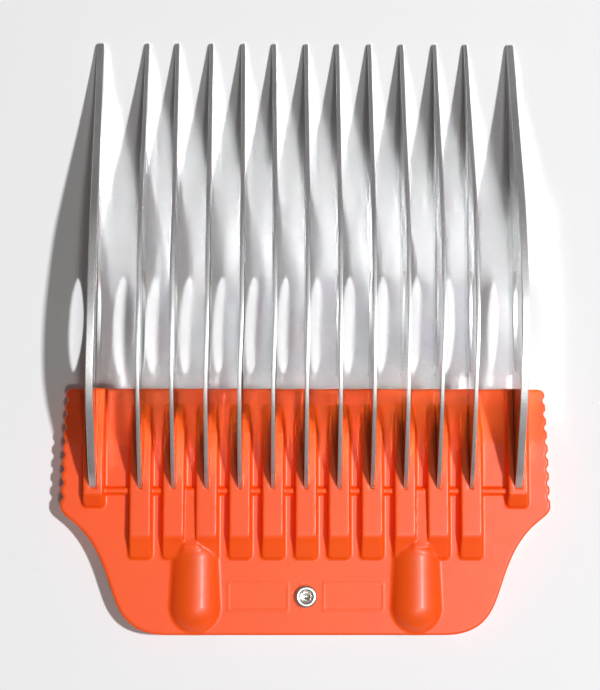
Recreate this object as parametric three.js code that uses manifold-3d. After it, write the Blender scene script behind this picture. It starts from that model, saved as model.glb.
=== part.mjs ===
// Clip-on attachment comb for a wide detachable clipper blade, in millimetres.
// +Y points to the tooth tips, +X to the right seen from the skin side, +Z up with the skin side on top.
import * as THREE from "three";
import Module from "manifold-3d";
import { mergeVertices } from "three/addons/utils/BufferGeometryUtils.js";

const wasm = await Module();
wasm.setup();

// Lengths along the comb are distances from the tooth tips.
const overallLength = 91.8;
const plateFront = 54.2;
const ribFront = 69.3;
const ribRear = 70.3;

// Heights above the surface that the comb stands on.
const seatHeight = 2.2;
const plateTop = 4.5;
const ridgeTop = 6.4;
const ribTop = 5.5;

// Teeth: eleven thin ones at an even pitch between two thick ones.
const innerCount = 11;
const innerPitch = 5.0;
const innerThickness = 0.6;
const outerX = 32.1;
const outerThickness = 1.1;
const toothEdge = 0.45;
const notchFront = 52.0;
const anchorBottom = 3.4;
const anchorRear = 70.9;
const slotClearance = 0.08;

// Ridges that hold the teeth.
const ridgeWidth = 3.3;
const ridgeRounding = 0.3;

// Blade bay between the two side rails.
const bayHalfWidth = 31.0;

// Spring housings.
const springX = 16.7;
const housingRadius = 4.455;
const housingAxisHeight = 2.1;
const housingFrontCentre = 81.2;
const housingEndCentre = 87.6;
const webRear = 79.4;
const webRearTop = 6.4;
const webWidth = 2.6;
const webX = 17.4;
const channelRadius = 1.85;
const channelAxisHeight = 4.0;
const channelFront = 79.6;
const channelRear = 89.2;

// Springs.
const springRadius = 1.475;
const springWire = 0.45;
const springFront = 80.55;
const springRear = 89.1;
const springTurns = 8;
const springDeadTurns = 1.5;

// Latch plate, shown at rest.
const latchHalfWidth = 20.5;
const latchFront = 73.1;
const latchRear = 91.0;
const latchBottom = 2.3;
const latchTop = 3.05;
const latchThickness = latchTop - latchBottom;
const latchTravel = 4.0;
const latchClearance = 0.15;
const tabFront = 79.75;
const tabTop = 5.2;
const tabWidth = 2.4;
const windowHalfWidth = 1.55;
const windowRear = 89.7;
const hookHalfWidth = 13;
const hookBottom = 0.15;
const hookFootTop = 0.85;
const hookFootFront = 88.9;

// Rivet stack.
const rivetStation = 85.7;
const rivetShank = 1.1;
const collarRadius = 1.6;
const washerRadius = 2.5;

const plastic = { color: 0xff5a1e, roughness: 0.32, metalness: 0.0 };
const toothSteel = { color: 0xc9cbcc, roughness: 0.22, metalness: 1.0 };
const sheetSteel = { color: 0xb9bbbd, roughness: 0.35, metalness: 1.0 };
const springSteel = { color: 0xa9abad, roughness: 0.3, metalness: 1.0 };
const rivetSteel = { color: 0xd6d6d2, roughness: 0.25, metalness: 1.0 };

function stationY(distanceFromTips) {
  return overallLength / 2 - distanceFromTips;
}

function toManifold(geometry) {
  const bare = geometry.index ? geometry.toNonIndexed() : geometry.clone();
  bare.deleteAttribute("normal");
  bare.deleteAttribute("uv");
  const merged = mergeVertices(bare, 1e-5);
  return new wasm.Manifold(
    new wasm.Mesh({
      numProp: 3,
      vertProperties: new Float32Array(merged.attributes.position.array),
      triVerts: new Uint32Array(merged.index.array),
    }),
  );
}

function toGeometry(solid) {
  const mesh = solid.getMesh();
  const geometry = new THREE.BufferGeometry();
  geometry.setAttribute("position", new THREE.BufferAttribute(mesh.vertProperties, 3));
  geometry.setIndex(new THREE.BufferAttribute(mesh.triVerts, 1));
  const flat = geometry.toNonIndexed();
  flat.computeVertexNormals();
  return flat;
}

function union(solids) {
  return solids.reduce((sum, solid) => sum.add(solid));
}

function block(x0, x1, stationFront, stationRear, z0, z1) {
  const geometry = new THREE.BoxGeometry(x1 - x0, stationRear - stationFront, z1 - z0);
  geometry.translate((x0 + x1) / 2, stationY((stationFront + stationRear) / 2), (z0 + z1) / 2);
  return toManifold(geometry);
}

// A side-view outline of [distance from tips, height] points, as a shape in the Y-Z plane.
function sideShape(points) {
  return new THREE.Shape(points.map(([station, height]) => new THREE.Vector2(stationY(station), height)));
}

// Extrudes a side-view shape across X, centred on centreX, with rounded side edges if wanted.
function acrossX(shape, centreX, width, rounding = 0, curveSegments = 6) {
  const geometry = new THREE.ExtrudeGeometry(shape, {
    depth: width - 2 * rounding,
    curveSegments,
    bevelEnabled: rounding > 0,
    bevelThickness: rounding,
    bevelSize: rounding,
    bevelOffset: -rounding,
    bevelSegments: 2,
  });
  geometry.translate(0, 0, -width / 2 + rounding);
  const turn = new THREE.Matrix4().makeBasis(
    new THREE.Vector3(0, 1, 0),
    new THREE.Vector3(0, 0, 1),
    new THREE.Vector3(1, 0, 0),
  );
  geometry.applyMatrix4(turn);
  geometry.translate(centreX, 0, 0);
  return geometry;
}

function upright(shape, z0, z1, curveSegments = 6) {
  const geometry = new THREE.ExtrudeGeometry(shape, {
    depth: z1 - z0,
    curveSegments,
    bevelEnabled: false,
  });
  geometry.translate(0, 0, z0);
  return geometry;
}

function ringShape(outerRadius, innerRadius) {
  const shape = new THREE.Shape().absarc(0, 0, outerRadius, 0, 2 * Math.PI);
  shape.holes.push(new THREE.Path().absarc(0, 0, innerRadius, 0, 2 * Math.PI));
  return shape;
}

function ring(outerRadius, innerRadius, z0, z1) {
  const geometry = upright(ringShape(outerRadius, innerRadius), z0, z1, 24);
  geometry.translate(0, stationY(rivetStation), 0);
  return geometry;
}

function innerToothX(index) {
  return (index - (innerCount - 1) / 2) * innerPitch;
}

// Plan outline of the plastic plate: grip notches on the flanks, S-curved shoulders, rounded rear corners.
function plateOutline() {
  const flankFront = 55.0;
  const flankRear = 71.9;
  const notchCount = 8;
  const notchPitch = 2.1;
  const firstNotch = 56.0;
  const notchHalf = 0.6;
  const notchControl = 0.9;
  const flankX = (station) => 36.6 + (0.6 * (station - flankFront)) / (flankRear - flankFront);
  const half = new THREE.Path();
  half.moveTo(0, stationY(overallLength));
  half.lineTo(21, stationY(overallLength));
  half.bezierCurveTo(25.6, stationY(91.8), 27.7, stationY(89.4), 28.9, stationY(86.2));
  half.bezierCurveTo(30.4, stationY(82.2), 31.3, stationY(77.4), 35.9, stationY(74.0));
  half.quadraticCurveTo(37.3, stationY(72.7), flankX(flankRear), stationY(flankRear));
  for (let i = notchCount - 1; i >= 0; i -= 1) {
    const centre = firstNotch + i * notchPitch;
    const rear = centre + notchHalf;
    const front = centre - notchHalf;
    half.lineTo(flankX(rear), stationY(rear));
    half.quadraticCurveTo(flankX(centre) - notchControl, stationY(centre), flankX(front), stationY(front));
  }
  half.quadraticCurveTo(flankX(plateFront), stationY(plateFront), 35.5, stationY(plateFront));
  half.lineTo(0, stationY(plateFront));
  const right = half.getPoints(4);
  const left = right.slice(1, -1).reverse().map((point) => new THREE.Vector2(-point.x, point.y));
  return new THREE.Shape([...right, ...left]);
}

function plate() {
  const rounding = 0.3;
  const geometry = new THREE.ExtrudeGeometry(plateOutline(), {
    depth: plateTop - 2 * rounding,
    bevelEnabled: true,
    bevelThickness: rounding,
    bevelSize: rounding,
    bevelOffset: -rounding,
    bevelSegments: 1,
  });
  geometry.translate(0, 0, rounding);
  return toManifold(geometry);
}

// A ridge from its rising front line to a short slope down at the rear.
function ridge(centreX, rise, flatEnd, slopeEnd) {
  const shape = sideShape([
    [rise[0][0], 3.0],
    [slopeEnd, 3.0],
    [slopeEnd, plateTop + 0.35],
    [flatEnd + 0.6, ridgeTop - 0.2],
    [flatEnd, ridgeTop],
    ...[...rise].reverse(),
  ]);
  return toManifold(acrossX(shape, centreX, ridgeWidth, ridgeRounding));
}

function ridges() {
  const innerRise = [
    [56.8, 3.5],
    [57.7, 4.1],
    [59.0, 4.75],
    [61.0, 5.4],
    [63.5, 5.95],
    [66.0, 6.3],
    [68.0, ridgeTop],
  ];
  const outerRise = [
    [plateFront, 4.3],
    [56.0, 4.7],
    [60.0, 5.4],
    [64.0, 6.05],
    [67.0, ridgeTop],
  ];
  const inner = Array.from({ length: innerCount }, (_, i) => ridge(innerToothX(i), innerRise, 75.9, 79.9));
  const outer = [-outerX, outerX].map((x) => ridge(x, outerRise, 70.1, 72.2));
  return [...inner, ...outer];
}

function housing(centreX) {
  const geometry = new THREE.CapsuleGeometry(housingRadius, housingEndCentre - housingFrontCentre, 8, 32);
  geometry.translate(centreX, stationY((housingEndCentre + housingFrontCentre) / 2), housingAxisHeight);
  const pastRearEdge = block(centreX - 5, centreX + 5, overallLength, overallLength + 1, 0, plateTop);
  return toManifold(geometry).subtract(pastRearEdge);
}

// Ramp between two ridges, rising from the cross rib to the front of a housing.
function web(centreX) {
  const shape = sideShape([
    [ribFront + 0.4, 3.0],
    [webRear, 3.0],
    [webRear, webRearTop],
    [ribFront + 0.4, ribTop],
  ]);
  return toManifold(acrossX(shape, centreX, webWidth));
}

function springChannel(centreX) {
  const length = channelRear - channelFront;
  const round = new THREE.CylinderGeometry(channelRadius, channelRadius, length, 28);
  round.translate(centreX, stationY((channelFront + channelRear) / 2), channelAxisHeight);
  const below = block(
    centreX - channelRadius,
    centreX + channelRadius,
    channelFront,
    channelRear,
    latchBottom,
    channelAxisHeight,
  );
  return toManifold(round).add(below);
}

function toothSlot(centreX, thickness) {
  const shape = sideShape([
    [plateFront - 1, anchorBottom - slotClearance],
    [anchorRear + slotClearance, anchorBottom - slotClearance],
    [anchorRear + slotClearance, 4.05],
    [ribFront + 0.08, ridgeTop],
    [ribFront + 0.08, ridgeTop + 2],
    [plateFront - 1, ridgeTop + 2],
  ]);
  return toManifold(acrossX(shape, centreX, thickness + 2 * slotClearance));
}

// Space above the thin front lip and the ramp behind it.
function frontRelief() {
  const shape = sideShape([
    [plateFront - 1, 3.25],
    [56.7, 3.6],
    [57.1, 3.7],
    [62.0, plateTop - 0.03],
    [62.6, plateTop],
    [62.6, plateTop + 1],
    [plateFront - 1, plateTop + 1],
  ]);
  return toManifold(acrossX(shape, 0, 90));
}

// Raised border of the blank size panel on each side of the rivet.
function panelBorder(centreX) {
  const halfWidth = 4.7;
  const front = 83.5;
  const rear = 87.9;
  const line = 0.35;
  const height = plateTop + 0.15;
  const outer = block(centreX - halfWidth, centreX + halfWidth, front, rear, 4, height);
  const inner = block(centreX - halfWidth + line, centreX + halfWidth - line, front + line, rear - line, 3, 6);
  return outer.subtract(inner);
}

function combBody() {
  const bay = block(-bayHalfWidth, bayHalfWidth, plateFront - 1, overallLength + 1, -4, seatHeight);
  const recess = block(
    -latchHalfWidth - 0.4,
    latchHalfWidth + 0.4,
    latchFront - 0.3,
    overallLength + 1,
    seatHeight - 0.5,
    latchTop + latchClearance,
  );
  const rivetHole = new THREE.CylinderGeometry(rivetShank + 0.1, rivetShank + 0.1, 8, 24);
  rivetHole.rotateX(Math.PI / 2);
  rivetHole.translate(0, stationY(rivetStation), 4);
  const crossRib = block(-outerX + 1, outerX - 1, ribFront, ribRear, 4, ribTop);
  const solid = union([
    plate().subtract(frontRelief()),
    crossRib,
    ...ridges(),
    web(-webX),
    web(webX),
    housing(-springX),
    housing(springX),
    panelBorder(-7.2),
    panelBorder(7.2),
  ]);
  const cuts = union([
    bay,
    recess,
    toManifold(rivetHole),
    springChannel(-springX),
    springChannel(springX),
    toothSlot(-outerX, outerThickness),
    toothSlot(outerX, outerThickness),
    ...Array.from({ length: innerCount }, (_, i) => toothSlot(innerToothX(i), innerThickness)),
  ]);
  return toGeometry(solid.subtract(cuts));
}

// Flat steel tooth: long straight lower bar, arched upper edge, leaf-shaped window, anchor in the plastic.
function tooth(centreX, thickness) {
  const crown = [
    [67.0, 8.6],
    [64.0, 10.4],
    [60.0, 12.6],
    [56.0, 14.4],
    [51.0, 15.7],
    [44.5, 16.0],
    [38.0, 15.1],
    [30.6, 13.3],
    [24.3, 10.9],
    [11.9, 5.4],
    [0.28, 0.87],
  ];
  const shape = new THREE.Shape();
  shape.moveTo(stationY(0.45), 0);
  shape.absarc(stationY(toothEdge), toothEdge, toothEdge, -Math.PI / 2, (68 * Math.PI) / 180);
  shape.splineThru(
    crown
      .slice(0, -1)
      .reverse()
      .map(([station, height]) => new THREE.Vector2(stationY(station), height)),
  );
  shape.lineTo(stationY(ribFront), ridgeTop);
  shape.lineTo(stationY(anchorRear), 4.0);
  shape.lineTo(stationY(anchorRear), anchorBottom);
  shape.lineTo(stationY(notchFront), anchorBottom);
  shape.lineTo(stationY(notchFront), 0);
  shape.closePath();
  const tilt = (-3.8 * Math.PI) / 180;
  const window = new THREE.EllipseCurve(stationY(44.15), 7.1, 7.7, 3.1, 0, 2 * Math.PI, false, tilt);
  shape.holes.push(new THREE.Path(window.getPoints(32).slice(0, -1)));
  return acrossX(shape, centreX, thickness, 0, 4);
}

class SpringCurve extends THREE.Curve {
  constructor(centreX) {
    super();
    this.centreX = centreX;
  }

  // Closed turns at both ends, an even pitch between them.
  getPoint(fraction, target = new THREE.Vector3()) {
    const turn = fraction * springTurns;
    const closedPitch = springWire * 1.1;
    const length = springRear - springFront - springWire;
    const openTurns = springTurns - 2 * springDeadTurns;
    const openPitch = (length - 2 * springDeadTurns * closedPitch) / openTurns;
    const inOpen = Math.min(Math.max(turn - springDeadTurns, 0), openTurns);
    const advance = closedPitch * (turn - inOpen) + openPitch * inOpen;
    const angle = turn * 2 * Math.PI;
    return target.set(
      this.centreX + springRadius * Math.cos(angle),
      stationY(springFront + springWire / 2 + advance),
      channelAxisHeight + springRadius * Math.sin(angle),
    );
  }
}

function spring(centreX) {
  const section = new THREE.Shape().absarc(0, 0, springWire / 2, 0, 2 * Math.PI);
  return new THREE.ExtrudeGeometry(section, {
    steps: springTurns * 14,
    curveSegments: 3,
    bevelEnabled: false,
    extrudePath: new SpringCurve(centreX),
  });
}

function latchSheet() {
  const corner = 1.5;
  const front = stationY(latchFront);
  const rear = stationY(latchRear);
  const shape = new THREE.Shape();
  shape.moveTo(-latchHalfWidth + corner, rear);
  shape.lineTo(latchHalfWidth - corner, rear);
  shape.absarc(latchHalfWidth - corner, rear + corner, corner, -Math.PI / 2, 0);
  shape.absarc(latchHalfWidth - corner, front - corner, corner, 0, Math.PI / 2);
  shape.absarc(-latchHalfWidth + corner, front - corner, corner, Math.PI / 2, Math.PI);
  shape.absarc(-latchHalfWidth + corner, rear + corner, corner, Math.PI, 1.5 * Math.PI);
  const slotHalf = collarRadius + 0.15;
  const slot = new THREE.Path();
  slot.absarc(0, stationY(rivetStation), slotHalf, Math.PI, 2 * Math.PI);
  slot.absarc(0, stationY(rivetStation - latchTravel), slotHalf, 0, Math.PI);
  shape.holes.push(slot);
  return toManifold(upright(shape, latchBottom, latchTop, 8));
}

function springWindow(centreX) {
  const left = centreX - windowHalfWidth;
  return block(left, centreX + windowHalfWidth, tabFront + latchThickness, windowRear, 1, tabTop + 1);
}

function tab(centreX) {
  return block(
    centreX - tabWidth / 2,
    centreX + tabWidth / 2,
    tabFront,
    tabFront + latchThickness,
    latchBottom + 0.1,
    tabTop,
  );
}

function hook() {
  const innerFace = latchRear - latchThickness;
  const shape = sideShape([
    [latchRear - 1.2, latchTop],
    [latchRear - 1.2, latchBottom],
    [innerFace - 0.25, latchBottom],
    [innerFace - 0.07, latchBottom - 0.07],
    [innerFace, latchBottom - 0.25],
    [innerFace, hookFootTop + 0.25],
    [innerFace - 0.07, hookFootTop + 0.07],
    [innerFace - 0.25, hookFootTop],
    [hookFootFront + 0.3, hookFootTop],
    [hookFootFront, hookFootTop - 0.25],
    [hookFootFront, hookBottom],
    [latchRear - 0.35, hookBottom],
    [latchRear, hookBottom + 0.35],
    [latchRear, latchTop],
  ]);
  return toManifold(acrossX(shape, 0, 2 * hookHalfWidth));
}

function latchPlate() {
  const solid = latchSheet()
    .subtract(springWindow(-springX))
    .subtract(springWindow(springX))
    .add(tab(-springX))
    .add(tab(springX))
    .add(hook());
  return toGeometry(solid);
}

// Flat head under the washer, shank, hollow end rolled over on the skin side.
function rivet() {
  const profile = [
    [0, 1.1],
    [2.0, 1.1],
    [2.2, 1.3],
    [2.2, 1.7],
    [rivetShank, 1.7],
    [rivetShank, plateTop + 0.04],
    [1.55, plateTop + 0.08],
    [1.65, plateTop + 0.28],
    [1.5, plateTop + 0.5],
    [1.2, plateTop + 0.56],
    [0.9, plateTop + 0.42],
    [0.7, plateTop],
    [0.65, 3.4],
    [0, 3.6],
  ];
  const geometry = new THREE.LatheGeometry(
    profile.map(([radius, height]) => new THREE.Vector2(radius, height)),
    32,
  );
  geometry.rotateX(Math.PI / 2);
  geometry.translate(0, stationY(rivetStation), 0);
  return geometry;
}

function addPiece(group, name, geometry, finish) {
  const mesh = new THREE.Mesh(geometry, new THREE.MeshStandardMaterial(finish));
  mesh.name = name;
  group.add(mesh);
}

const comb = new THREE.Group();
addPiece(comb, "comb_body", combBody(), plastic);
const toothXs = [-outerX, ...Array.from({ length: innerCount }, (_, i) => innerToothX(i)), outerX];
toothXs.forEach((x, i) => {
  const thickness = Math.abs(x) === outerX ? outerThickness : innerThickness;
  addPiece(comb, `tooth_${String(i + 1).padStart(2, "0")}`, tooth(x, thickness), toothSteel);
});
addPiece(comb, "rivet", rivet(), rivetSteel);
addPiece(comb, "rivet_washer", ring(washerRadius, rivetShank + 0.1, 1.75, 2.1), sheetSteel);
addPiece(comb, "rivet_collar", ring(collarRadius, rivetShank + 0.1, 2.15, 3.15), rivetSteel);
addPiece(comb, "latch_plate", latchPlate(), sheetSteel);
addPiece(comb, "spring_left", spring(-springX), springSteel);
addPiece(comb, "spring_right", spring(springX), springSteel);

export default comb;
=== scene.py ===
"""Clip-on clipper guard comb: orange moulded body, thirteen steel teeth, sprung latch plate underneath.

Lengths are in millimetres until a mesh is made. x is across the comb, s is the distance from the
tooth tips and z is the height above the floor, so y = HALF_LENGTH - s.
"""

import math

import bmesh
import bpy
import numpy as np
from mathutils import Matrix, Vector
from mathutils.geometry import tessellate_polygon


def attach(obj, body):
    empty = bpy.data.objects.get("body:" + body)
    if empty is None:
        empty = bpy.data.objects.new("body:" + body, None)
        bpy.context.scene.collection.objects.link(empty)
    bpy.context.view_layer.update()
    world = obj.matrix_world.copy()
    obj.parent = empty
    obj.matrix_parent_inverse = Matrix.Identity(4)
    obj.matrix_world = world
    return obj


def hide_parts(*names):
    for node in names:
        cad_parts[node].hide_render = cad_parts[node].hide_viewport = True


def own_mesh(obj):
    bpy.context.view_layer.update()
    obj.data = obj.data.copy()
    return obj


MM = 0.001

# Overall layout of the body.
HALF_LENGTH = 45.9
PLATE_FRONT = 54.2
PLATE_REAR = 91.5
PLATE_TOP = 4.5
SEAT = 2.2
BAY_HALF = 31.0
PITCH = 5.0
SIDE_RIDGES = 5
OUTER_X = 32.1
SLOPE = 0.05
RIDGE_TOP, RIDGE_REAR, RIDGE_HALF_FRONT, RIDGE_HALF = 6.4, 79.95, 1.15, 1.58
BOSS_REAR, BOSS_HALF = 72.2, 1.5
RIB_FRONT, RIB_REAR, RIB_TOP = 69.3, 70.3, 5.35
WEB_X, WEB_HALF, WEB_TOP, WEB_LEVEL_END = 17.4, 1.3, 5.95, 78.3
PANEL_X, PANEL_S, PANEL_HALF_WIDTH, PANEL_HALF_LENGTH, PANEL_RAISE = 7.2, 85.75, 4.7, 2.25, 0.045
GRIPS, GRIP_PITCH, GRIP_FIRST, GRIP_HALF, GRIP_DEPTH = 8, 2.1, 56.0, 0.6, 0.7

# Spring housings, which stand a little lower at the front, and the channels inside them.
SPRING_X = 16.7
HOUSING_RADIUS, HOUSING_HEIGHT, HOUSING_DROP = 4.455, 2.1, 0.45
HOUSING_FRONT_CENTRE, HOUSING_END_CENTRE = 79.9, 87.3
CHANNEL_RADIUS, CHANNEL_HEIGHT, CHANNEL_FRONT, CHANNEL_REAR = 1.85, 4.0, 79.6, 89.2
RIVET_S, RIVET_HOLE = 85.7, 1.2

# Latch plate and springs at rest.
LATCH_BOTTOM, LATCH_TOP = 2.3, 3.05
LATCH_FRONT, LATCH_REAR, LATCH_HALF, LATCH_CORNER = 73.1, 91.0, 20.5, 1.5
LATCH_TRAVEL = 4.0
TAB_FRONT, TAB_TOP, TAB_HALF, TAB_THICKNESS = 79.75, 5.2, 1.2, 0.75
LATCH_WINDOW_HALF, LATCH_WINDOW_REAR = 1.55, 89.7
HOOK_HALF, HOOK_FRONT, HOOK_BOTTOM = 13.0, 88.9, 0.15
COLLAR_RADIUS = 1.6
SPRING_RADIUS, SPRING_WIRE = 1.475, 0.45
SPRING_FRONT, SPRING_REAR, SPRING_TURNS, SPRING_END_TURNS = 80.55, 89.1, 8, 1.5

# Teeth: the windows are ellipses, tilted by an angle in degrees.
INNER_THICKNESS, OUTER_THICKNESS = 0.6, 1.1
ANCHOR_BOTTOM, ANCHOR_REAR = 3.4, 70.9
TOOTH_WINDOW_S, TOOTH_WINDOW_Z, TOOTH_WINDOW_TILT = 44.15, 7.1, 3.8
TOOTH_WINDOW_HALF_LENGTH, TOOTH_WINDOW_HALF_HEIGHT = 7.7, 3.1
TOOTH_ROUNDING = 0.1

# Sideways set of each tooth from left to right, halfway along it and at its tip.
TOOTH_BOW = (0.25, 0.12, 0.05, 0.26, 0.38, 0.3, 0.18, 0.02, 0.05, 0.15, 0.38, 0.32, 0.22)
TOOTH_TIP = (0.1, 0.32, 0.0, 0.3, 0.27, 0.12, 0.12, 0.0, 0.0, 0.02, 0.2, 0.04, -0.04)

# Grid steps of the two sampled shapes.
BODY_STEP = 0.15
LATCH_STEP = 0.1


# ---------------------------------------------------------------- objects


def add_object(name, data):
    """Puts new data into the scene as an object."""
    thing = bpy.data.objects.new(name, data)
    bpy.context.scene.collection.objects.link(thing)
    return thing


def add_smooth_mesh(name, mesh, sharp_degrees=None):
    """Turns a bmesh into a smooth object, which keeps edges sharp where they turn more than an angle."""
    bmesh.ops.recalc_face_normals(mesh, faces=mesh.faces)
    data = bpy.data.meshes.new(name)
    mesh.to_mesh(data)
    mesh.free()
    data.shade_smooth()
    if sharp_degrees is not None:
        data.set_sharp_from_angle(angle=math.radians(sharp_degrees))
    return add_object(name, data)


# ---------------------------------------------------------------- camera, light and floor


def make_camera():
    """A camera above the comb, looking almost straight down."""
    data = bpy.data.cameras.new("camera")
    data.sensor_fit = "HORIZONTAL"
    data.sensor_width = 36.0
    data.lens = 121.74
    data.clip_start = 0.01
    camera = add_object("camera", data)
    turn = Matrix.Rotation(math.radians(0.04), 4, "Z")
    roll = Matrix.Rotation(math.radians(-0.893), 4, "Y")
    tilt = Matrix.Rotation(math.radians(5.0), 4, "X")
    place = Matrix.Translation(Vector((-5.69, -28.67, 313.0)) * MM)
    camera.matrix_world = place @ turn @ roll @ tilt
    bpy.context.scene.camera = camera


def add_area_light(name, position, target, size, power, color):
    """A square light at a position, aimed at a target; both are in metres."""
    data = bpy.data.lights.new(name, "AREA")
    data.shape = "RECTANGLE"
    data.size = size
    data.size_y = size
    data.energy = power
    data.color = color
    light = add_object(name, data)
    light.location = position
    aim = Vector(target) - Vector(position)
    light.rotation_euler = aim.to_track_quat("-Z", "Y").to_euler()


def make_light():
    """A dim world, a small bright light from the right and a faint one from behind."""
    world = bpy.data.worlds.new("studio")
    world.use_nodes = True
    background = world.node_tree.nodes["Background"]
    background.inputs["Color"].default_value = (1.0, 0.94, 0.9, 1.0)
    background.inputs["Strength"].default_value = 0.1
    bpy.context.scene.world = world
    bpy.context.scene.view_settings.view_transform = "Standard"

    # Light thrown by the polished teeth onto the floor is kept whole.
    bpy.context.scene.cycles.blur_glossy = 0.0
    bpy.context.scene.cycles.sample_clamp_indirect = 0.0
    add_area_light("key", (0.47, 0.0, 1.0), (0, 0, 0), 0.05, 10.3, (0.98, 0.99, 1.0))
    add_area_light("lamp", (0.11, -0.245, 0.8), (0, -0.03, 0), 0.07, 1.1, (1.0, 0.99, 0.97))


def make_floor():
    """A plain pale floor, which is part of the stage and not of the object."""
    grid = bmesh.new()
    bmesh.ops.create_grid(grid, x_segments=1, y_segments=1, size=1.5)
    mesh = bpy.data.meshes.new("floor")
    grid.to_mesh(mesh)
    grid.free()
    floor = add_object("floor", mesh)
    material = bpy.data.materials.new("floor_paper")
    material.use_nodes = True
    shader = material.node_tree.nodes["Principled BSDF"]
    shader.inputs["Base Color"].default_value = (0.86, 0.86, 0.87, 1.0)
    shader.inputs["Roughness"].default_value = 0.85
    shader.inputs["Specular IOR Level"].default_value = 0.2
    mesh.materials.append(material)


# ---------------------------------------------------------------- distance fields


def round_max(a, b, radius):
    """Intersection of two fields with the edge between them rounded."""
    u = np.maximum(a + radius, 0)
    v = np.maximum(b + radius, 0)
    return np.minimum(np.maximum(a, b), -radius) + np.sqrt(u * u + v * v)


def round_min(a, b, radius):
    """Union of two fields with a fillet between them."""
    return -round_max(-a, -b, radius)


def band(value, low, high):
    """Distance outside the interval from low to high."""
    return np.maximum(low - value, value - high)


def polygon_distance(x, y, points):
    """Signed distance to a closed outline, negative inside, for arrays x and y."""
    nearest = np.full(np.broadcast(x, y).shape, 1e9, np.float32)
    inside = np.zeros(nearest.shape, bool)
    for (ax, ay), (bx, by) in zip(points, points[1:] + points[:1]):
        dx, dy = bx - ax, by - ay
        if dx * dx + dy * dy < 1e-12:
            continue
        t = np.clip(((x - ax) * dx + (y - ay) * dy) / (dx * dx + dy * dy), 0, 1)
        nearest = np.minimum(nearest, (x - ax - t * dx) ** 2 + (y - ay - t * dy) ** 2)
        if ay != by:
            crosses = (y < ay) != (y < by)
            inside ^= crosses & (x < ax + (y - ay) * dx / dy)
    return np.where(inside, -np.sqrt(nearest), np.sqrt(nearest)).astype(np.float32)


def path_distance(x, y, points):
    """Distance to an open line of straight pieces."""
    nearest = None
    for (ax, ay), (bx, by) in zip(points, points[1:]):
        dx, dy = bx - ax, by - ay
        t = np.clip(((x - ax) * dx + (y - ay) * dy) / (dx * dx + dy * dy), 0, 1)
        d = np.sqrt((x - ax - t * dx) ** 2 + (y - ay - t * dy) ** 2)
        nearest = d if nearest is None else np.minimum(nearest, d)
    return nearest


def surface_net(field):
    """Vertices, in grid steps, and quads of the surface where a sampled field is zero."""
    inside = field < 0
    cells_shape = tuple(n - 1 for n in field.shape)
    corner_sets = [(i, j, k) for i in (0, 1) for j in (0, 1) for k in (0, 1)]
    count = np.zeros(cells_shape, np.int8)
    for i, j, k in corner_sets:
        count += inside[i : i + cells_shape[0], j : j + cells_shape[1], k : k + cells_shape[2]]
    active = (count > 0) & (count < 8)
    cells = np.argwhere(active)
    index = np.full(cells_shape, -1, np.int32)
    index[active] = np.arange(len(cells))
    total = np.zeros((len(cells), 3))
    hits = np.zeros(len(cells))
    for a in corner_sets:
        for axis in range(3):
            if a[axis]:
                continue
            b = tuple(1 if n == axis else a[n] for n in range(3))
            fa = field[cells[:, 0] + a[0], cells[:, 1] + a[1], cells[:, 2] + a[2]]
            fb = field[cells[:, 0] + b[0], cells[:, 1] + b[1], cells[:, 2] + b[2]]
            crossing = (fa < 0) != (fb < 0)
            share = np.where(crossing, fa / np.where(crossing, fa - fb, 1), 0)
            point = np.array(a, float)[None, :] + share[:, None] * (np.array(b) - np.array(a))[None, :]
            total += point * crossing[:, None]
            hits += crossing
    vertices = cells + total / hits[:, None]
    quads = []
    for axis in range(3):
        others = [n for n in range(3) if n != axis]
        lower = np.take(inside, range(field.shape[axis] - 1), axis)
        upper = np.take(inside, range(1, field.shape[axis]), axis)
        edges = np.argwhere(lower != upper)
        fits = np.all(edges[:, others] > 0, axis=1)
        fits &= np.all(edges[:, others] < np.array(field.shape)[others] - 1, axis=1)
        edges = edges[fits]
        ring = []
        for da, db in ((0, 0), (-1, 0), (-1, -1), (0, -1)):
            shift = np.zeros(3, int)
            shift[others[0]], shift[others[1]] = da, db
            c = edges + shift
            ring.append(index[c[:, 0], c[:, 1], c[:, 2]])
        quad = np.stack(ring, 1)
        leaving = lower[edges[:, 0], edges[:, 1], edges[:, 2]]
        flip = leaving if axis != 1 else ~leaving
        quad[~flip] = quad[~flip][:, ::-1]
        quads.append(quad)
    return vertices, np.concatenate(quads)


def field_mesh(name, field_of, low, high, step):
    """Samples field_of(x, s, z) on a grid between two corners, and returns its surface as an object."""
    sizes = [int(math.ceil((b - a) / step)) + 1 for a, b in zip(low, high)]
    axes = [np.float32(a) + np.arange(n, dtype=np.float32) * np.float32(step) for a, n in zip(low, sizes)]
    x = axes[0][:, None, None]
    s = axes[1][None, :, None]
    z = axes[2][None, None, :]
    vertices, quads = surface_net(field_of(x, s, z))
    points = vertices * step + np.array(low)
    points[:, 1] = HALF_LENGTH - points[:, 1]
    mesh = bpy.data.meshes.new(name)
    mesh.from_pydata((points * MM).tolist(), [], quads[:, ::-1].tolist())
    mesh.validate()
    mesh.shade_smooth()
    return add_object(name, mesh)


# ---------------------------------------------------------------- plastic body


def bezier(points, count):
    """Points on a Bezier curve of any degree, without its first point."""
    result = []
    for i in range(1, count + 1):
        t = i / count
        level = [Vector(p) for p in points]
        while len(level) > 1:
            level = [a.lerp(b, t) for a, b in zip(level, level[1:])]
        result.append((level[0].x, level[0].y))
    return result


def flank_x(s):
    """Half width of the plate along its gripped flanks."""
    return 36.6 + 0.6 * (s - 55.0) / 16.9


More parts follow.
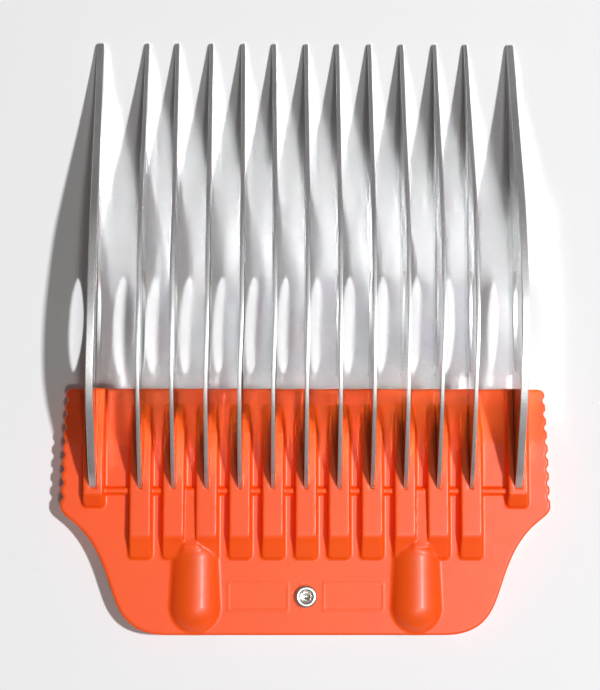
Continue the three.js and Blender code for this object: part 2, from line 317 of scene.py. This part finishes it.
def half_outline():
    """Plan outline of the right half of the plate, as (x, s) points."""
    points = [(-5.0, PLATE_REAR), (21.0, PLATE_REAR)]
    points += bezier([(21.0, PLATE_REAR), (25.6, PLATE_REAR), (27.7, 89.4), (28.9, 86.2)], 14)
    points += bezier([(28.9, 86.2), (30.4, 82.2), (31.3, 77.4), (35.9, 74.0)], 16)
    points += bezier([(35.9, 74.0), (37.4, 72.9), (flank_x(71.9), 71.9)], 6)
    for i in reversed(range(GRIPS)):
        centre = GRIP_FIRST + GRIP_PITCH * i
        rear = (flank_x(centre + GRIP_HALF), centre + GRIP_HALF)
        front = (flank_x(centre - GRIP_HALF), centre - GRIP_HALF)
        points.append(rear)
        points += bezier([rear, (flank_x(centre) - GRIP_DEPTH, centre), front], 6)
    points.append((flank_x(55.1), 55.1))
    points += bezier([(flank_x(55.1), 55.1), (36.5, PLATE_FRONT), (35.4, PLATE_FRONT)], 6)
    points.append((-5.0, PLATE_FRONT))
    return points


def plate_top(s):
    """Height of the plate's upper surface: flat at the rear, ramped down to a thin front lip."""
    stations = [PLATE_FRONT, 56.7, 57.1, 62.0, 62.6]
    heights = [3.35, 3.6, 3.68, 4.45, PLATE_TOP]
    return np.interp(s, stations, heights).astype(np.float32)


def ridge_top(s):
    """Height of the ridge tops along the comb."""
    stations = [56.0, 56.8, 57.7, 59.0, 61.0, 63.5, 66.0, 68.0, 76.1, 76.4, 76.7, 77.0, 77.3, 77.6, 80.2]
    heights = [2.6, 3.5, 4.1, 4.75, 5.4, 5.85, 6.12, 6.2, RIDGE_TOP, 6.37, 6.3, 6.18, 6.03, 5.87, 4.75]
    return np.interp(s, stations, heights).astype(np.float32)


def boss_top(s):
    """Height of the outer bosses along the comb."""
    stations = [PLATE_FRONT, 56.0, 60.0, 64.0, 67.0, 69.9, 70.3, 70.7, 72.5]
    heights = [4.3, 4.7, 5.4, 6.05, RIDGE_TOP, RIDGE_TOP, 6.34, 6.13, 4.75]
    return np.interp(s, stations, heights).astype(np.float32)


def fillet_at(z, radius):
    """Fillet radius at a height: full at the plate, small where the tops of two ridges run together."""
    return np.interp(z, [4.9, 5.7], [radius, 0.08]).astype(np.float32)


def from_nearest_ridge(x):
    """Distance across the comb from the middle of the nearest ridge."""
    return np.abs(x - PITCH * np.clip(np.round(x / PITCH), -SIDE_RIDGES, SIDE_RIDGES))


def body_field(x, s, z):
    """The whole moulded body."""
    across = np.abs(x)
    outline = polygon_distance(across[:, :, 0], s[:, :, 0], half_outline())[:, :, None]
    field = round_max(outline, (z - plate_top(s)) * np.float32(0.99), 0.35)
    field = round_max(field, -z, 0.3)
    bay = round_max(across - BAY_HALF, z - SEAT, 0.3)
    field = round_max(field, -bay, 0.25)

    # Ridges round the inner teeth, one pitch apart.
    half = np.interp(s, [56.5, 61.0], [RIDGE_HALF_FRONT, RIDGE_HALF]).astype(np.float32)
    half = half + SLOPE * (RIDGE_TOP - z)
    plan = round_max(from_nearest_ridge(x) - half, s - RIDGE_REAR, 0.6)
    ridge = round_max(plan, (z - ridge_top(s)) * np.float32(0.93), 0.2)
    ridge = np.maximum(ridge, 3.0 - z)
    field = round_min(field, ridge, fillet_at(z, 0.45))

    # Bosses round the two outer teeth.
    boss_half = BOSS_HALF + SLOPE * (RIDGE_TOP - z)
    plan = round_max(np.abs(across - OUTER_X) - boss_half, s - BOSS_REAR, 0.6)
    boss = round_max(plan, (z - boss_top(s)) * np.float32(0.93), 0.28)
    boss = np.maximum(round_max(boss, PLATE_FRONT + 0.02 - s, 0.3), 3.0 - z)
    field = round_min(field, boss, fillet_at(z, 0.4))

    # Rib across the comb.
    rib = round_max(band(s, RIB_FRONT, RIB_REAR), z - RIB_TOP, 0.4)
    rib = np.maximum(np.maximum(rib, across - OUTER_X), 3.0 - z)
    field = round_min(field, rib, 0.25)

    # Webs between two ridges, which rise from the rib and end inside the spring housings.
    stations = [RIB_FRONT, WEB_LEVEL_END, HOUSING_FRONT_CENTRE]
    web_top = np.interp(s, stations, [RIB_TOP - 0.05, WEB_TOP, PLATE_TOP]).astype(np.float32)
    web = round_max(np.abs(across - WEB_X) - WEB_HALF, z - web_top, 0.5)
    web = np.maximum(np.maximum(web, band(s, RIB_FRONT + 0.3, HOUSING_FRONT_CENTRE)), 4.0 - z)

    # Spring housings.
    nearest = np.clip(s, HOUSING_FRONT_CENTRE, HOUSING_END_CENTRE)
    drop = HOUSING_DROP * (HOUSING_END_CENTRE - nearest) / (HOUSING_END_CENTRE - HOUSING_FRONT_CENTRE)
    above = z - HOUSING_HEIGHT + drop
    housing = np.sqrt((across - SPRING_X) ** 2 + (s - nearest) ** 2 + above**2) - HOUSING_RADIUS
    housing = np.maximum(np.maximum(housing, SEAT + 0.6 - z), outline + 0.05)
    field = round_min(field, round_min(housing, web, 0.8), fillet_at(z, 0.3))

    # Raised borders of the two blank panels.
    panel = np.maximum(np.abs(across - PANEL_X) - PANEL_HALF_WIDTH, np.abs(s - PANEL_S) - PANEL_HALF_LENGTH)
    border = round_max(np.abs(panel + 0.2) - 0.16, z - PLATE_TOP - PANEL_RAISE, 0.06)
    field = np.minimum(field, np.maximum(border, 3.5 - z))

    field = np.maximum(field, -slot_field(x, s, z))
    field = round_max(field, -underside_cuts(x, across, s, z), 0.18)
    return field.astype(np.float32)


def slot_field(x, s, z):
    """The slots that the teeth stand in, a little narrower than the teeth so that no gap shows."""
    gap = -0.02
    from_tooth = from_nearest_ridge(x) - INNER_THICKNESS / 2 - gap
    from_outer = np.abs(np.abs(x) - OUTER_X) - OUTER_THICKNESS / 2 - gap
    end = np.interp(z, [3.3, 4.0, RIDGE_TOP, 9.0], [70.94, 70.94, RIB_FRONT + 0.06, RIB_FRONT - 1.0])
    return np.maximum(np.maximum(np.minimum(from_tooth, from_outer), s - end.astype(np.float32)), 3.34 - z)


def underside_cuts(x, across, s, z):
    """Latch recess, spring channels, rivet hole and shallow ejector marks."""
    recess = np.maximum(np.maximum(across - LATCH_HALF - 0.4, LATCH_FRONT - 0.3 - s), z - 3.2)
    round_part = np.sqrt((across - SPRING_X) ** 2 + (z - CHANNEL_HEIGHT) ** 2) - CHANNEL_RADIUS
    lower_part = np.maximum(np.abs(across - SPRING_X) - CHANNEL_RADIUS, z - CHANNEL_HEIGHT)
    channel = np.maximum(np.minimum(round_part, lower_part), band(s, CHANNEL_FRONT, CHANNEL_REAR))
    hole = np.sqrt(x**2 + (s - RIVET_S) ** 2) - RIVET_HOLE
    cuts = np.minimum(np.minimum(recess, channel), hole)
    for mark_x, mark_s in ((9.0, 58.5), (26.0, 58.5), (26.0, 69.0), (9.0, 69.0)):
        mark = np.sqrt((across - mark_x) ** 2 + (s - mark_s) ** 2) - 1.5
        cuts = np.minimum(cuts, np.maximum(mark, z - SEAT - 0.12))
    return cuts


def make_body(material):
    low, high = (-37.95, 53.7, -0.45), (37.95, 92.4, 7.05)
    body = field_mesh("plastic_body", body_field, low, high, BODY_STEP)
    body.data.materials.append(material)
    reduce_mesh(body, 0.35)
    even_normals(body)
    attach(body, "comb")
    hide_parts("comb_body")


def reduce_mesh(piece, ratio):
    """Merges small faces where the surface is flat or gently curved."""
    modifier = piece.modifiers.new("reduce", "DECIMATE")
    modifier.decimate_type = "COLLAPSE"
    modifier.ratio = ratio
    apply_modifiers(piece)


def even_normals(piece):
    """Lets large flat faces shade flat, with the turn of the surface kept to the rounded edges."""
    weighted = piece.modifiers.new("flat faces", "WEIGHTED_NORMAL")
    weighted.weight = 100
    weighted.mode = "FACE_AREA"


def apply_modifiers(piece):
    """Gives a piece the mesh that its modifiers make, and drops the modifiers."""
    evaluated = piece.evaluated_get(bpy.context.evaluated_depsgraph_get())
    mesh = bpy.data.meshes.new_from_object(evaluated)
    old = piece.data
    piece.modifiers.clear()
    piece.data = mesh
    mesh.name = piece.name
    bpy.data.meshes.remove(old)


# ---------------------------------------------------------------- teeth


def smooth_line(points, per_span):
    """Catmull-Rom curve through the points, as a list without its last point."""
    padded = [points[0]] + list(points) + [points[-1]]
    result = []
    for i in range(1, len(padded) - 2):
        p0, p1, p2, p3 = (np.array(p, float) for p in padded[i - 1 : i + 3])
        for k in range(per_span):
            t = k / per_span
            value = 0.5 * (
                2 * p1
                + (p2 - p0) * t
                + (2 * p0 - 5 * p1 + 4 * p2 - p3) * t * t
                + (3 * p1 - p0 - 3 * p2 + p3) * t**3
            )
            result.append((float(value[0]), float(value[1])))
    return result


def tooth_outline():
    """Side outline of a tooth, as (s, z) points from the notch round the tip to the anchor."""
    tip = []
    for degrees in range(0, 158, 12):
        a = math.radians(degrees)
        tip.append((0.3 - 0.45 * math.sin(a), 0.45 - 0.45 * math.cos(a)))
    crown = [
        (0.13, 0.87),
        (4.0, 2.28),
        (11.9, 5.4),
        (24.3, 10.9),
        (30.6, 13.3),
        (38.0, 15.1),
        (44.5, 16.0),
        (51.0, 15.7),
        (56.0, 14.4),
        (60.0, 12.6),
        (64.0, 10.4),
        (67.0, 8.6),
        (RIB_FRONT, RIDGE_TOP),
    ]
    outline = tip + smooth_line(crown, 8) + [(RIB_FRONT, RIDGE_TOP), (ANCHOR_REAR, 4.0)]
    outline += [(ANCHOR_REAR, ANCHOR_BOTTOM), (52.3, ANCHOR_BOTTOM), (52.08, 3.31), (52.0, 3.1)]
    outline += [(52.0, 0.25), (51.93, 0.07), (51.75, 0.0)]
    return outline


def tooth_window():
    """Leaf-shaped hole of a tooth, as (s, z) points."""
    tilt = math.radians(TOOTH_WINDOW_TILT)
    count = 72
    points = []
    for i in range(count):
        a = 2 * math.pi * i / count
        u = TOOTH_WINDOW_HALF_LENGTH * math.cos(a)
        v = TOOTH_WINDOW_HALF_HEIGHT * math.sin(a)
        s = TOOTH_WINDOW_S + u * math.cos(tilt) - v * math.sin(tilt)
        z = TOOTH_WINDOW_Z + u * math.sin(tilt) + v * math.cos(tilt)
        points.append((s, z))
    return points


def inset_loop(points, distance):
    """Moves a closed outline sideways; a positive distance moves it to the left of its direction."""
    count = len(points)
    result = []
    for i in range(count):
        before, here, after = (Vector(points[(i + k) % count]) for k in (-1, 0, 1))
        u = (here - before).normalized()
        v = (after - here).normalized()
        normal = Vector((-u.y - v.y, u.x + v.x))
        if normal.length < 1e-6:
            normal = Vector((-u.y, u.x))
        normal.normalize()
        stretch = min(1 / max(normal.dot(Vector((-u.y, u.x))), 0.4), 1.6)
        result.append(tuple(here + normal * distance * stretch))
    return result


def signed_area(points):
    """Area of a closed outline, negative when it runs clockwise."""
    return 0.5 * sum(a[0] * b[1] - b[0] * a[1] for a, b in zip(points, points[1:] + points[:1]))


def tooth_offset(number, s):
    """Sideways set of a tooth at a station: nothing at the plastic, then its bow, then its tip."""
    bow, tip = TOOTH_BOW[number - 1], TOOTH_TIP[number - 1]
    if s > 25:
        t = min(max((56 - s) / 14, 0), 1)
        return bow * (3 * t * t - 2 * t**3)
    return tip + (bow - tip) * max(s, 0) / 25


def tip_narrowing(s):
    """How much of its thickness a tooth keeps near the rounded tip."""
    t = min(max((s + 0.15) / 0.75, 0), 1)
    return 0.3 + 0.7 * math.sqrt(1 - (1 - t) ** 2)


def make_tooth(number, x, thickness, edge_steel, face_steel):
    """A stamped plate with softly rounded edges round its outline and its window."""
    outer, hole = tooth_outline(), tooth_window()
    outer_side = 1 if signed_area(outer) > 0 else -1
    hole_side = -1 if signed_area(hole) > 0 else 1
    steps = [(0.0, 1.0), (0.076, 0.617), (0.293, 0.293), (0.617, 0.076), (1.0, 0.0)]
    layers = [(-thickness / 2 + TOOTH_ROUNDING * depth, TOOTH_ROUNDING * inset) for depth, inset in steps]
    layers += [(-offset, inset) for offset, inset in reversed(layers)]
    mesh = bmesh.new()
    rings = []
    for loop, side in ((outer, outer_side), (hole, hole_side)):
        loops = []
        for offset, inset in layers:
            moved = inset_loop(loop, side * inset)
            ring = []
            for s, z in moved:
                side_x = x + tooth_offset(number, s) + offset * tip_narrowing(s)
                ring.append(mesh.verts.new((side_x * MM, (HALF_LENGTH - s) * MM, z * MM)))
            loops.append(ring)
        rings.append(loops)
    for loops in rings:
        count = len(loops[0])
        for low, high in zip(loops, loops[1:]):
            for i in range(count):
                j = (i + 1) % count
                mesh.faces.new((low[i], low[j], high[j], high[i]))
    for end in (0, -1):
        flat = [rings[0][end], rings[1][end]]
        corners = [[Vector((v.co.y, v.co.z, 0)) for v in loop] for loop in flat]
        verts = flat[0] + flat[1]
        for triangle in tessellate_polygon(corners):
            face = mesh.faces.new([verts[i] for i in triangle])
            face.material_index = 1
    piece = add_smooth_mesh(f"steel_tooth_{number:02d}", mesh)
    even_normals(piece)
    piece.data.materials.append(edge_steel)
    piece.data.materials.append(face_steel)
    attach(piece, "comb")
    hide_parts(f"tooth_{number:02d}")


def make_teeth(edge_steel, face_steel):
    inner = [PITCH * k for k in range(-SIDE_RIDGES, SIDE_RIDGES + 1)]
    places = [-OUTER_X] + inner + [OUTER_X]
    for number, x in enumerate(places, 1):
        thickness = OUTER_THICKNESS if abs(x) == OUTER_X else INNER_THICKNESS
        make_tooth(number, x, thickness, edge_steel, face_steel)


# ---------------------------------------------------------------- rivet, washer and collar


def make_turned(name, profile, node, material, closed):
    """Turns an (r, z) profile round the rivet's axis."""
    segments = 72
    mesh = bmesh.new()
    y = HALF_LENGTH - RIVET_S
    columns = []
    for i in range(segments):
        a = 2 * math.pi * i / segments
        column = []
        for r, z in profile:
            place = (r * math.cos(a) * MM, (y + r * math.sin(a)) * MM, z * MM)
            column.append(None if r == 0 else mesh.verts.new(place))
        columns.append(column)
    poles = {k: mesh.verts.new((0, y * MM, z * MM)) for k, (r, z) in enumerate(profile) if r == 0}
    spans = len(profile) if closed else len(profile) - 1
    for i in range(segments):
        a, b = columns[i], columns[(i + 1) % segments]
        for k in range(spans):
            m = (k + 1) % len(profile)
            corners = [a[k] or poles.get(k), b[k] or poles.get(k), b[m] or poles.get(m), a[m] or poles.get(m)]
            mesh.faces.new(list(dict.fromkeys(corners)))
    piece = add_smooth_mesh(name, mesh, 40)
    piece.data.materials.append(material)
    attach(piece, "comb")
    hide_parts(node)


def rivet_profile():
    """Flat head below, shank, hollow end rolled outward on the skin side with a small pip inside."""
    head = [(0.0, 1.1), (1.8, 1.1), (2.05, 1.16), (2.17, 1.3), (2.2, 1.45)]
    head += [(2.17, 1.62), (2.05, 1.7), (1.15, 1.7), (1.1, 1.75)]
    roll = [(1.1, 0.02)]
    for i in range(15):
        a = math.radians(-60 + i * 250 / 14)
        roll.append((1.27 + 0.43 * math.cos(a), 0.33 + 0.3 * math.sin(a)))
    hollow = [(0.78, 0.1), (0.7, -0.15), (0.68, -0.45), (0.6, -0.52)]
    hollow += [(0.46, -0.4), (0.3, -0.22), (0.12, -0.14), (0.0, -0.13)]
    return head + [(r, PLATE_TOP + z) for r, z in roll + hollow]


def make_rivet(rivet_steel, sheet_steel):
    make_turned("rivet_body", rivet_profile(), "rivet", rivet_steel, False)
    washer = [(1.2, 1.79), (1.24, 1.75), (2.4, 1.75), (2.48, 1.8), (2.5, 1.92), (2.48, 2.04), (2.4, 2.1)]
    washer += [(1.24, 2.1), (1.2, 2.06)]
    make_turned("rivet_washer_ring", washer, "rivet_washer", sheet_steel, True)
    collar = [(1.2, 2.2), (1.25, 2.15), (1.55, 2.15), (1.6, 2.2)]
    collar += [(1.6, 3.1), (1.55, 3.15), (1.25, 3.15), (1.2, 3.1)]
    make_turned("rivet_collar_tube", collar, "rivet_collar", rivet_steel, True)


# ---------------------------------------------------------------- latch plate and springs


def latch_field(x, s, z):
    """The whole latch plate, cut and bent from one sheet."""
    across = np.abs(x)
    middle = (LATCH_FRONT + LATCH_REAR) / 2
    half = (LATCH_REAR - LATCH_FRONT) / 2
    u = across - LATCH_HALF + LATCH_CORNER
    v = np.abs(s - middle) - half + LATCH_CORNER
    outline = np.sqrt(np.maximum(u, 0) ** 2 + np.maximum(v, 0) ** 2)
    outline = outline + np.minimum(np.maximum(u, v), 0) - LATCH_CORNER

    # Windows over the springs, and the slot round the collar.
    beside_window = np.abs(across - SPRING_X) - LATCH_WINDOW_HALF
    along_window = band(s, TAB_FRONT + TAB_THICKNESS, LATCH_WINDOW_REAR)
    outline = np.maximum(outline, -round_max(beside_window, along_window, 0.3))
    slot_s = s - np.clip(s, RIVET_S - LATCH_TRAVEL, RIVET_S)
    outline = np.maximum(outline, -(np.sqrt(x**2 + slot_s**2) - COLLAR_RADIUS - 0.15))
    sheet = round_max(outline, band(z, LATCH_BOTTOM, LATCH_TOP), 0.13)

    # Hook: the sheet turned down and forward at the rear.
    half_sheet = (LATCH_TOP - LATCH_BOTTOM) / 2
    mid = LATCH_BOTTOM + half_sheet
    back = LATCH_REAR - half_sheet
    foot = HOOK_BOTTOM + half_sheet
    bend = [(89.4, mid), (90.2, mid), (90.51, mid - 0.12), (back, mid - 0.42)]
    bend += [(back, foot + 0.42), (90.51, foot + 0.12), (90.2, foot), (HOOK_FRONT + half_sheet, foot)]
    strip = path_distance(s, z, bend) - half_sheet
    side = across - HOOK_HALF + 0.5 * np.clip(89.9 - s, 0, 1.0)
    hook = round_max(strip, side, 0.2)
    field = round_min(sheet, hook, 0.1)

    # Tabs turned up into the spring channels.
    from_spring = np.abs(across - SPRING_X)
    tab = round_max(from_spring - TAB_HALF, band(s, TAB_FRONT, TAB_FRONT + TAB_THICKNESS), 0.12)
    top = z - TAB_TOP + 0.25 * (from_spring / TAB_HALF) ** 4
    tab = np.maximum(round_max(tab, top, 0.15), LATCH_BOTTOM + 0.1 - z)
    tab = np.where(np.abs(s - TAB_FRONT - TAB_THICKNESS / 2) < 3, tab, 9.0)
    field = round_min(field, tab, 0.25)
    return field.astype(np.float32)


def make_latch(material):
    low, high = (-20.85, 72.75, -0.15), (20.85, 91.35, 5.5)
    latch = field_mesh("latch_sheet", latch_field, low, high, LATCH_STEP)
    latch.data.materials.append(material)
    reduce_mesh(latch, 0.3)
    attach(latch, "latch")
    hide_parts("latch_plate")


def spring_point(turn):
    """Centre of the wire after so many turns: closed at both ends, evenly open between."""
    closed_pitch = SPRING_WIRE * 1.08
    length = SPRING_REAR - SPRING_FRONT - SPRING_WIRE
    open_turns = SPRING_TURNS - 2 * SPRING_END_TURNS
    open_pitch = (length - 2 * SPRING_END_TURNS * closed_pitch) / open_turns
    in_open = min(max(turn - SPRING_END_TURNS, 0), open_turns)
    advance = closed_pitch * (turn - in_open) + open_pitch * in_open
    angle = 2 * math.pi * turn
    x = SPRING_RADIUS * math.cos(angle)
    y = HALF_LENGTH - (SPRING_FRONT + SPRING_WIRE / 2 + advance)
    z = CHANNEL_HEIGHT + SPRING_RADIUS * math.sin(angle)
    return Vector((x, y, z))


def make_spring(name, node, centre_x, material):
    """A coil of round wire at its rest length, with closed turns at both ends."""
    around, per_turn = 14, 36
    count = SPRING_TURNS * per_turn
    mesh = bmesh.new()
    rings = []
    for i in range(count + 1):
        turn = i / per_turn
        here = spring_point(turn)
        ahead = (spring_point(turn + 0.002) - spring_point(turn - 0.002)).normalized()
        outward = Vector((math.cos(2 * math.pi * turn), 0, math.sin(2 * math.pi * turn)))
        side = ahead.cross(outward).normalized()
        taper = 1.0 if 0 < i < count else 0.8
        ring = []
        for k in range(around):
            a = 2 * math.pi * k / around
            offset = (outward * math.cos(a) + side * math.sin(a)) * (SPRING_WIRE / 2 * taper)
            ring.append(mesh.verts.new((here + offset + Vector((centre_x, 0, 0))) * MM))
        rings.append(ring)
    for a, b in zip(rings, rings[1:]):
        for k in range(around):
            m = (k + 1) % around
            mesh.faces.new((a[k], a[m], b[m], b[k]))
    mesh.faces.new(rings[0])
    mesh.faces.new(rings[-1])
    piece = add_smooth_mesh(name, mesh, 50)
    piece.data.materials.append(material)
    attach(piece, "comb")
    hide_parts(node)
    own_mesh(piece)


# ---------------------------------------------------------------- materials


def new_material(name):
    """A new material with its nodes, its links and its shader."""
    material = bpy.data.materials.new(name)
    material.use_nodes = True
    tree = material.node_tree
    return material, tree.nodes, tree.links, tree.nodes["Principled BSDF"]


def add_node(nodes, kind, **settings):
    """A node with sockets or settings given by name."""
    node = nodes.new(kind)
    for key, value in settings.items():
        if key in node.inputs:
            node.inputs[key].default_value = value
        else:
            setattr(node, key, value)
    return node


def add_noise(nodes, links, coords, scale, detail, stretch=(1, 1, 1)):
    """Noise fixed to the object, which may be stretched along an axis."""
    mapping = add_node(nodes, "ShaderNodeMapping", Scale=stretch)
    noise = add_node(nodes, "ShaderNodeTexNoise", Scale=scale, Detail=detail)
    links.new(coords.outputs["Object"], mapping.inputs["Vector"])
    links.new(mapping.outputs["Vector"], noise.inputs["Vector"])
    return noise


def add_ramp(nodes, links, source, low, high, low_color, high_color):
    """Turns a value between low and high into a blend of two colours."""
    ramp = nodes.new("ShaderNodeValToRGB")
    ramp.color_ramp.elements[0].position = low
    ramp.color_ramp.elements[1].position = high
    ramp.color_ramp.elements[0].color = low_color
    ramp.color_ramp.elements[1].color = high_color
    links.new(source, ramp.inputs["Fac"])
    return ramp


def add_range(nodes, links, source, low, high):
    """Spreads a value from 0 to 1 between low and high."""
    node = add_node(nodes, "ShaderNodeMapRange")
    node.inputs["To Min"].default_value = low
    node.inputs["To Max"].default_value = high
    links.new(source, node.inputs["Value"])
    return node


def plastic_material():
    """Moulded orange plastic with a soft gloss, which lets a little light through."""
    material, nodes, links, shader = new_material("orange_plastic")
    coords = nodes.new("ShaderNodeTexCoord")
    cloud = add_noise(nodes, links, coords, 90, 3)
    deep, bright = (1.0, 0.086, 0.001, 1), (1.0, 0.1, 0.001, 1)
    color = add_ramp(nodes, links, cloud.outputs["Fac"], 0.3, 0.7, deep, bright)
    links.new(color.outputs["Color"], shader.inputs["Base Color"])
    gloss = add_noise(nodes, links, coords, 350, 4)
    roughness = add_range(nodes, links, gloss.outputs["Fac"], 0.4, 0.52)
    links.new(roughness.outputs["Result"], shader.inputs["Roughness"])
    peel = add_noise(nodes, links, coords, 900, 3)
    bump = add_node(nodes, "ShaderNodeBump", Strength=0.12, Distance=0.00004)
    links.new(peel.outputs["Fac"], bump.inputs["Height"])
    links.new(bump.outputs["Normal"], shader.inputs["Normal"])
    shader.inputs["IOR"].default_value = 1.5
    shader.inputs["Coat Weight"].default_value = 0.08
    shader.inputs["Coat Roughness"].default_value = 0.2
    shader.inputs["Subsurface Weight"].default_value = 0.3
    shader.inputs["Subsurface Radius"].default_value = (0.0022, 0.0004, 0.0001)
    shader.inputs["Subsurface Scale"].default_value = 1.0
    return material


def steel_material(name, low_rough, high_rough, tint, grain_scale, grain_stretch, grain_strength):
    """Polished or satin steel with fine lines along its grain and faint smudges."""
    material, nodes, links, shader = new_material(name)
    coords = nodes.new("ShaderNodeTexCoord")
    smudge = add_noise(nodes, links, coords, 120, 4)
    roughness = add_range(nodes, links, smudge.outputs["Fac"], low_rough, high_rough)
    links.new(roughness.outputs["Result"], shader.inputs["Roughness"])
    grain = add_noise(nodes, links, coords, grain_scale, 2, grain_stretch)
    low = tuple(c * 0.9 for c in tint) + (1,)
    color = add_ramp(nodes, links, grain.outputs["Fac"], 0.3, 0.7, low, tuple(tint) + (1,))
    links.new(color.outputs["Color"], shader.inputs["Base Color"])
    bump = add_node(nodes, "ShaderNodeBump", Strength=grain_strength, Distance=0.00003)
    links.new(grain.outputs["Fac"], bump.inputs["Height"])
    links.new(bump.outputs["Normal"], shader.inputs["Normal"])
    shader.inputs["Metallic"].default_value = 1.0
    return material


# ---------------------------------------------------------------- scene


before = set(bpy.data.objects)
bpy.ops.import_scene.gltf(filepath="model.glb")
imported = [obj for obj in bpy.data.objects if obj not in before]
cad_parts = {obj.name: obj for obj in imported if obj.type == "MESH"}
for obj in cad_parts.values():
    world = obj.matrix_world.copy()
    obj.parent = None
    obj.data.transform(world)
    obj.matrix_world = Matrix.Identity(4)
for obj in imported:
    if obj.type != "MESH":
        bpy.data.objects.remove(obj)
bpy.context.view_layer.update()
make_camera()
make_light()
make_floor()
plastic = plastic_material()
face_steel = steel_material("tooth_steel", 0.13, 0.19, (0.84, 0.84, 0.85), 1500, (1, 0.06, 1), 0.05)
edge_steel = steel_material("tooth_edge_steel", 0.36, 0.5, (0.86, 0.86, 0.86), 2500, (1, 1, 1), 0.6)
sheet_steel = steel_material("latch_steel", 0.26, 0.4, (0.7, 0.7, 0.71), 1200, (1, 0.05, 1), 0.15)
wire_steel = steel_material("spring_steel", 0.2, 0.34, (0.62, 0.63, 0.65), 900, (1, 1, 1), 0.1)
rivet_steel = steel_material("rivet_steel", 0.24, 0.36, (0.86, 0.82, 0.78), 700, (1, 1, 1), 0.08)
make_body(plastic)
make_teeth(edge_steel, face_steel)
make_rivet(rivet_steel, sheet_steel)
make_latch(sheet_steel)
make_spring("spring_coil_left", "spring_left", -SPRING_X, wire_steel)
make_spring("spring_coil_right", "spring_right", SPRING_X, wire_steel)
